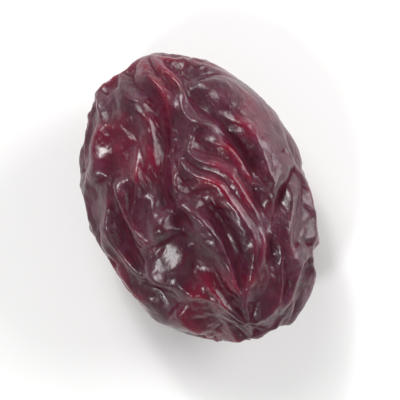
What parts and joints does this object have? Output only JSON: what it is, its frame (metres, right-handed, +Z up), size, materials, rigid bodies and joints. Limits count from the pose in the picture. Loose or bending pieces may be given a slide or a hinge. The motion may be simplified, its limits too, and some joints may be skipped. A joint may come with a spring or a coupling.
{
  "type": "dried cranberry",
  "caption": "Whole dried cranberry: a flattened oval berry with deep folds from end to end, sunken hollows and puckered ends, lying on a small flat spot.",
  "frame": {"origin": "middle of the berry in plan, on the plane of the flat spot it rests on", "axes": "+X along the berry towards the blossom end, +Y across it, +Z up from the resting spot"},
  "size_m": [0.018, 0.0131, 0.0096],
  "materials": {
    "skin": "wrinkled, slightly oily dark burgundy fruit skin"
  },
  "bodies": {
    "root": {"dried_cranberry": "skin"}
  },
  "joints": []
}
